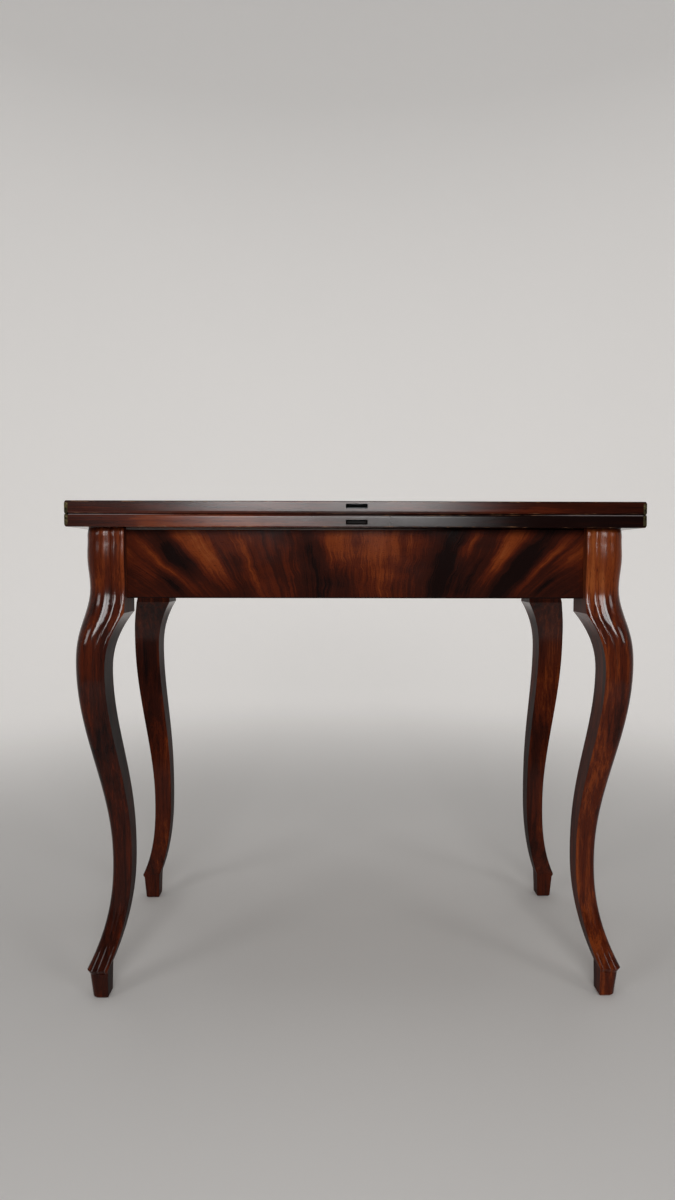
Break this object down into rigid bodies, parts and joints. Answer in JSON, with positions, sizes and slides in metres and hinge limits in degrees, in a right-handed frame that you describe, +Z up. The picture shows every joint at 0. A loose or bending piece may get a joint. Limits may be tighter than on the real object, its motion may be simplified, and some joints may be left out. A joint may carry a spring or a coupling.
{
  "type": "games table",
  "caption": "Mahogany games table on cabriole legs; its double top swivels on the frame and unfolds to a square, over a card well.",
  "frame": {"origin": "on the floor below the middle of the closed top", "axes": "+X along the closed top, -Y towards the hinge edge, +Z up"},
  "size_m": [0.85, 0.425, 0.7561],
  "materials": {
    "polished_mahogany": "French polished, glossy, deep red brown",
    "flame_veneer": "flame figured veneer, French polished",
    "pine": "raw aged pine",
    "beech": "raw aged beech",
    "green_baize": "felted wool cloth",
    "old_brass": "tarnished brass",
    "dark_iron": "dark oxidised iron"
  },
  "bodies": {
    "frame": {"leg_front_left": "polished_mahogany", "leg_front_right": "polished_mahogany", "leg_back_left": "polished_mahogany", "leg_back_right": "polished_mahogany", "rail_front": "pine", "rail_back": "pine", "rail_left": "pine", "rail_right": "pine", "veneer_front": "flame_veneer", "veneer_back": "flame_veneer", "veneer_left": "flame_veneer", "veneer_right": "flame_veneer", "glue_blocks": "pine", "pivot_rail": "beech", "bearing_plate": "old_brass", "bearing_plate_screws": "old_brass", "well_partition": "pine", "well_runner_front": "pine", "well_runner_back": "pine", "well_runner_left": "pine", "well_runner_right": "pine", "well_bottom": "pine"},
    "lower_top": {"lower_leaf": "polished_mahogany", "lower_baize": "green_baize", "pivot_plate": "dark_iron", "pivot_plate_screws": "dark_iron", "pivot_bolt": "dark_iron", "pivot_washer": "dark_iron", "pivot_nut": "dark_iron", "stop_peg": "beech", "hinge_strap_lower_left": "old_brass", "hinge_strap_lower_right": "old_brass", "lower_hinge_pins": "old_brass", "lower_strap_screws": "dark_iron"},
    "hinge_links": {"hinge_link_left": "old_brass", "hinge_link_right": "old_brass"},
    "upper_top": {"upper_leaf": "polished_mahogany", "upper_baize": "green_baize", "hinge_strap_upper_left": "old_brass", "hinge_strap_upper_right": "old_brass", "upper_hinge_pins": "old_brass", "upper_strap_screws": "dark_iron"},
    "tongue": {"alignment_tongue": "beech"}
  },
  "joints": [
    {"name": "top_swivel", "type": "hinge", "parent": "frame", "child": "lower_top", "pos_m": [-0.10625, -0.10625, 0.7178], "axis": [0, 0, 1], "range_deg": [0, 90]},
    {"name": "link_turn", "type": "hinge", "parent": "lower_top", "child": "hinge_links", "pos_m": [0, -0.2085, 0.7328], "axis": [1, 0, 0], "range_deg": [0, 90]},
    {"name": "leaf_fold", "type": "hinge", "parent": "hinge_links", "child": "upper_top", "pos_m": [0, -0.2085, 0.7411], "axis": [1, 0, 0], "range_deg": [0, 90]},
    {"name": "tongue_slide", "type": "slide", "parent": "lower_top", "child": "tongue", "axis": [0, -1, 0], "range_m": [0, 0.014]}
  ]
}
